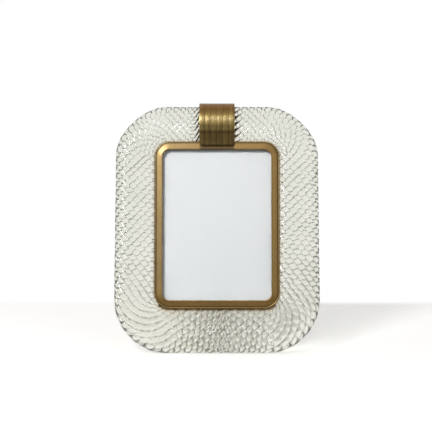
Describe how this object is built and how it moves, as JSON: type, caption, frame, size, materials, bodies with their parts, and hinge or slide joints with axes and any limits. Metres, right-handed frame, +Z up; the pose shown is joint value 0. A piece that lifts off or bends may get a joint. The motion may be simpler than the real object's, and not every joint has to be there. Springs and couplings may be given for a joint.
{
  "type": "picture frame",
  "caption": "Standing picture frame: twisted clear glass rope bent round a brass bezel, reeded brass collar over its joint, removable back and hinged brass strut.",
  "frame": {"origin": "on the table, under the middle of the object's width and depth as it stands open", "axes": "+X to the right as seen from the front, +Y to the back, +Z up"},
  "size_m": [0.233, 0.1092, 0.2774],
  "materials": {
    "rope_glass": "polished",
    "pane_glass": "polished",
    "brass": "satin",
    "aged_brass": "satin",
    "steel": "satin",
    "felt": "matte",
    "card": "matte",
    "board": "matte",
    "panel_cloth": "matte",
    "shoe_rubber": "matte"
  },
  "bodies": {
    "frame": {"glass_ring": "rope_glass", "bezel": "brass", "rear_rim": "brass", "collar": "aged_brass", "collar_liner": "felt", "glazing_pane": "pane_glass", "insert_card": "card", "backing_board": "board", "rear_panel": "panel_cloth", "hinge_plate": "brass", "hinge_pin": "steel", "rim_screw_1": "brass", "rim_screw_2": "brass", "rim_screw_3": "brass", "rim_screw_4": "brass", "collar_screw_1": "aged_brass", "collar_screw_2": "aged_brass", "hinge_screw_1": "brass", "hinge_screw_2": "brass", "hinge_screw_3": "brass", "hinge_screw_4": "brass", "pivot_stud_1": "steel", "pivot_stud_2": "steel", "pivot_stud_3": "steel", "pivot_stud_4": "steel"},
    "strut": {"strut_leg": "brass", "strut_shoe": "shoe_rubber"},
    "button_1": {"turn_button_1": "brass"},
    "button_2": {"turn_button_2": "brass"},
    "button_3": {"turn_button_3": "brass"},
    "button_4": {"turn_button_4": "brass"}
  },
  "joints": [
    {"name": "strut_hinge", "type": "hinge", "parent": "frame", "child": "strut", "pos_m": [0, 0.01072, 0.19179], "axis": [1, 0, 0], "range_deg": [-24, 0]},
    {"name": "button_1_turn", "type": "hinge", "parent": "frame", "child": "button_1", "pos_m": [-0.06715, 0.00556, 0.18962], "axis": [0, 0.9781, -0.2079], "range_deg": [-90, 90]},
    {"name": "button_2_turn", "type": "hinge", "parent": "frame", "child": "button_2", "pos_m": [0.06715, 0.00556, 0.18962], "axis": [0, 0.9781, -0.2079], "range_deg": [-90, 90]},
    {"name": "button_3_turn", "type": "hinge", "parent": "frame", "child": "button_3", "pos_m": [0.06715, -0.01607, 0.08789], "axis": [0, 0.9781, -0.2079], "range_deg": [-90, 90]},
    {"name": "button_4_turn", "type": "hinge", "parent": "frame", "child": "button_4", "pos_m": [-0.06715, -0.01607, 0.08789], "axis": [0, 0.9781, -0.2079], "range_deg": [-90, 90]}
  ]
}
